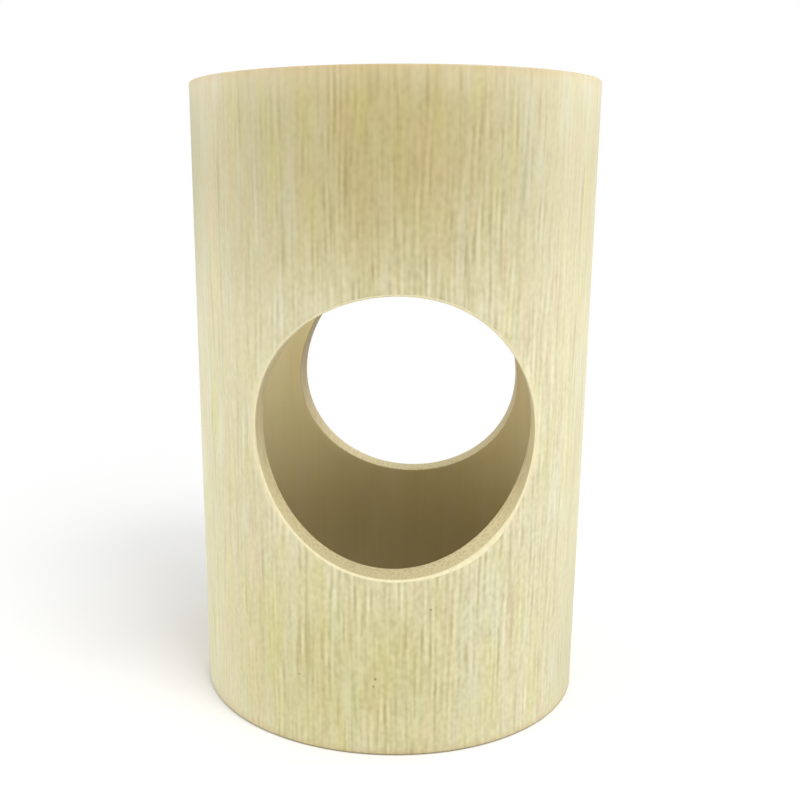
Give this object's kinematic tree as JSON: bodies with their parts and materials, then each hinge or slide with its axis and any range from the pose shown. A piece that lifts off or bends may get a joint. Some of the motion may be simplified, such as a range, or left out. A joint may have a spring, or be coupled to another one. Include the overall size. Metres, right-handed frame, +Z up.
{
  "type": "hamster tunnel",
  "caption": "Open bamboo tube that stands on its sawn end, with a round hole drilled straight across through its walls for a small pet to climb through or hide in.",
  "frame": {"origin": "middle of the sawn end that the tube stands on, on the floor", "axes": "+Z up along the tube's axis; -Y out of the mouth of the drilled hole that faces the viewer; +X to the viewer's right"},
  "size_m": [0.079, 0.079, 0.122],
  "materials": {
    "scraped_bamboo": "skin scraped off and sanded smooth, unvarnished, with fine fibre lines along the tube"
  },
  "bodies": {
    "root": {"bamboo_tube": "scraped_bamboo"}
  },
  "joints": []
}
